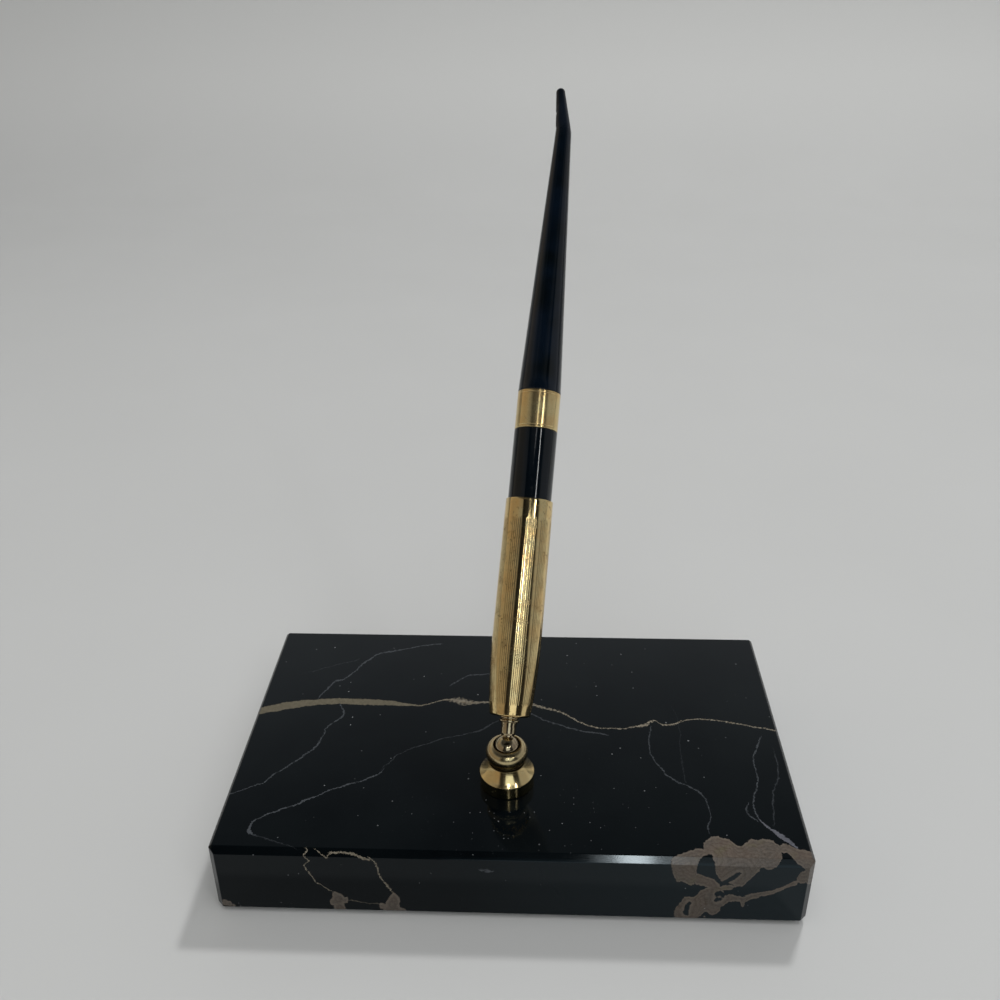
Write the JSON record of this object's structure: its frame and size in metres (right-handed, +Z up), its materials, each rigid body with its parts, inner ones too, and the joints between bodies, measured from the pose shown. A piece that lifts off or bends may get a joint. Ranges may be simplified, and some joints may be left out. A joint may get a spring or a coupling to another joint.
{
  "type": "desk pen stand",
  "caption": "Desk pen stand: polished black stone slab with a gold ball swivel, a tapered pen sleeve that pans, tilts and spins, and a black desk pen that lifts out of it.",
  "frame": {"origin": "centre of the felt pad's underside, where the stand rests on a desk", "axes": "+Z up, -Y towards the user at the front of the slab, +X to the user's right"},
  "size_m": [0.13, 0.1186, 0.1581],
  "materials": {
    "black_stone": "polished black marble with tan and grey veins",
    "felt": "dark felt",
    "steel": "zinc-plated steel",
    "gold_plate": "polished gold plate on brass",
    "plain_brass": "turned brass",
    "nylon": "natural nylon",
    "liner_plastic": "black moulded plastic",
    "black_resin": "polished black resin",
    "soft_rubber": "soft rubber"
  },
  "bodies": {
    "base": {"marble_base": "black_stone", "felt_pad": "felt", "base_screw": "steel", "flat_washer": "steel", "lock_washer": "steel", "swivel_foot": "gold_plate", "socket_cap": "gold_plate", "disc_springs": "steel"},
    "swivel_cup": {"ball_seat": "nylon"},
    "swivel_stud": {"ball_stud": "gold_plate"},
    "sleeve": {"stem_collar": "gold_plate", "sleeve_shell": "gold_plate", "sleeve_plug": "plain_brass", "sleeve_liner": "liner_plastic"},
    "pen": {"nose_cone": "gold_plate", "pen_barrel": "black_resin", "barrel_insert": "plain_brass", "center_band": "gold_plate", "tail_connector": "plain_brass", "pen_tail": "black_resin", "refill_tip": "plain_brass", "refill_tube": "plain_brass", "refill_plug": "nylon", "refill_buffer": "soft_rubber"}
  },
  "joints": [
    {"name": "swivel_pan", "type": "hinge", "parent": "base", "child": "swivel_cup", "pos_m": [-0.001, -0.0173, 0.029], "axis": [0, 0, 1], "continuous": true},
    {"name": "swivel_tilt", "type": "hinge", "parent": "swivel_cup", "child": "swivel_stud", "pos_m": [-0.001, -0.0173, 0.029], "axis": [0.9911, -0.1331, 0], "range_deg": [-3.3, 76.7]},
    {"name": "sleeve_spin", "type": "hinge", "parent": "swivel_stud", "child": "sleeve", "pos_m": [-0.001, -0.0173, 0.029], "axis": [0.0796, 0.5923, 0.8018], "continuous": true},
    {"name": "pen_lift", "type": "slide", "parent": "sleeve", "child": "pen", "axis": [0.0796, 0.5923, 0.8018], "range_m": [0, 0.048]}
  ]
}
